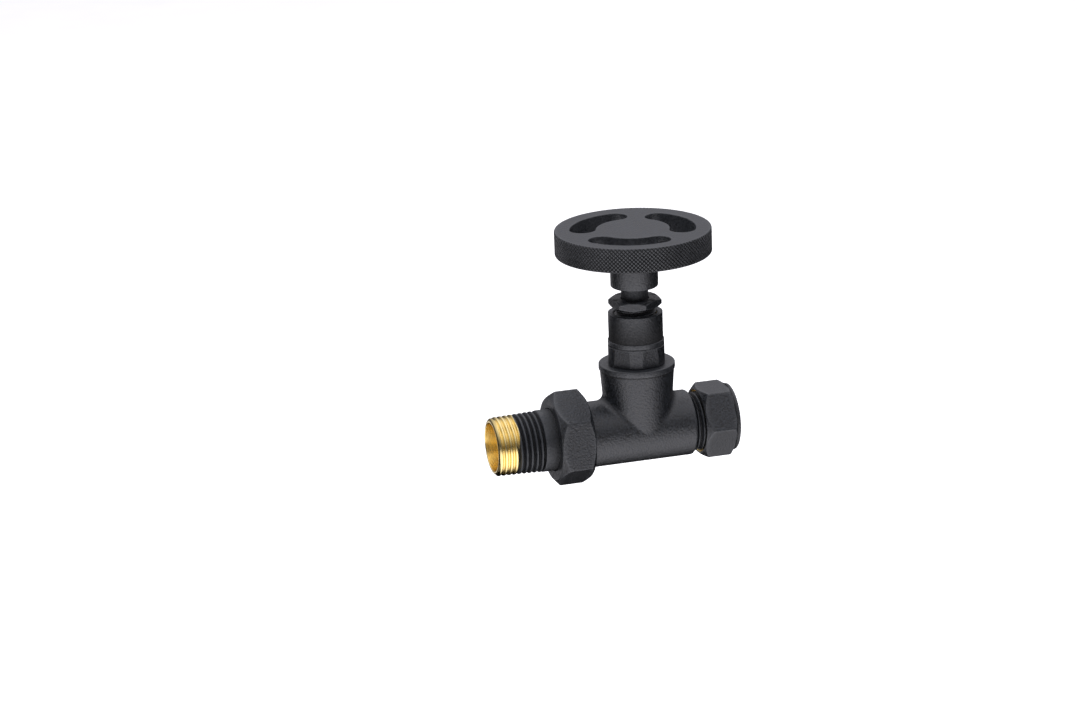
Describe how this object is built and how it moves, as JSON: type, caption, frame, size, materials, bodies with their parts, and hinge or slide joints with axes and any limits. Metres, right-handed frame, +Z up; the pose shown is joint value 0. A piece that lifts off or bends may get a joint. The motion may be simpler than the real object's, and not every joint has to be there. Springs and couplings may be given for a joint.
{
  "type": "straight wheel-head radiator valve",
  "caption": "Straight manual radiator valve with a knurled handwheel, union tail to the radiator and compression end for the pipe.",
  "frame": {"origin": "centre of the union tail's open end, on the pipe axis", "axes": "+X along the pipe axis from the tail towards the compression end, +Z up the spindle axis to the handwheel, +Y to the back"},
  "size_m": [0.0866, 0.0538, 0.0885],
  "materials": {
    "black_coat": "fine matt anthracite powder coat",
    "bare_brass": "bright machined",
    "tail_brass": "bright thread at the open end, coated black behind it",
    "nut_coat": "fine matt anthracite powder coat outside, bare brass thread inside",
    "rubber_seal": "matt",
    "packing": "graphited packing yarn",
    "spring_steel": "satin"
  },
  "bodies": {
    "body": {"valve_body": "black_coat", "bonnet": "black_coat", "bonnet_seal": "rubber_seal", "packing_washer": "bare_brass", "gland_packing": "packing"},
    "plug": {"plug": "bare_brass", "plug_clip": "spring_steel", "seat_washer": "rubber_seal", "washer_screw": "bare_brass"},
    "wheel": {"spindle": "black_coat", "spindle_o_ring": "rubber_seal", "handwheel": "black_coat", "hub_grub_screw": "spring_steel"},
    "gland_follower": {"gland_follower": "bare_brass"},
    "gland_nut": {"gland_nut": "black_coat"},
    "tail": {"tailpiece": "tail_brass", "tail_o_ring": "rubber_seal"},
    "union_nut": {"union_nut": "nut_coat"},
    "olive": {"olive": "bare_brass"},
    "compression_nut": {"compression_nut": "nut_coat"}
  },
  "joints": [
    {"name": "plug_lift", "type": "slide", "parent": "body", "child": "plug", "axis": [0, 0, 1], "range_m": [-0.0036, 0]},
    {"name": "wheel_turn", "type": "hinge", "parent": "plug", "child": "wheel", "pos_m": [0.053, 0, 0.05], "axis": [0, 0, 1], "range_deg": [-864, 0]},
    {"name": "gland_rise", "type": "slide", "parent": "body", "child": "gland_follower", "axis": [0, 0, 1], "range_m": [0, 0.0005]},
    {"name": "gland_nut_turn", "type": "hinge", "parent": "gland_follower", "child": "gland_nut", "pos_m": [0.053, 0, 0.0458], "axis": [0, 0, 1], "range_deg": [0, 180]},
    {"name": "tail_draw", "type": "slide", "parent": "body", "child": "tail", "axis": [-1, 0, 0], "range_m": [0, 0.005]},
    {"name": "union_nut_turn", "type": "hinge", "parent": "tail", "child": "union_nut", "pos_m": [0.028, 0, 0], "axis": [-1, 0, 0], "range_deg": [0, 990]},
    {"name": "olive_draw", "type": "slide", "parent": "body", "child": "olive", "axis": [1, 0, 0], "range_m": [0, 0.00726]},
    {"name": "compression_nut_turn", "type": "hinge", "parent": "olive", "child": "compression_nut", "pos_m": [0.08, 0, 0], "axis": [1, 0, 0], "range_deg": [0, 1440]}
  ],
  "couplings": [
    {"joint": "plug_lift", "follows": "wheel_turn", "m_per_rad": 0.00023873},
    {"joint": "gland_rise", "follows": "gland_nut_turn", "m_per_rad": 0.00015915},
    {"joint": "tail_draw", "follows": "union_nut_turn", "m_per_rad": 0.00028871},
    {"joint": "olive_draw", "follows": "compression_nut_turn", "m_per_rad": 0.00028871}
  ]
}
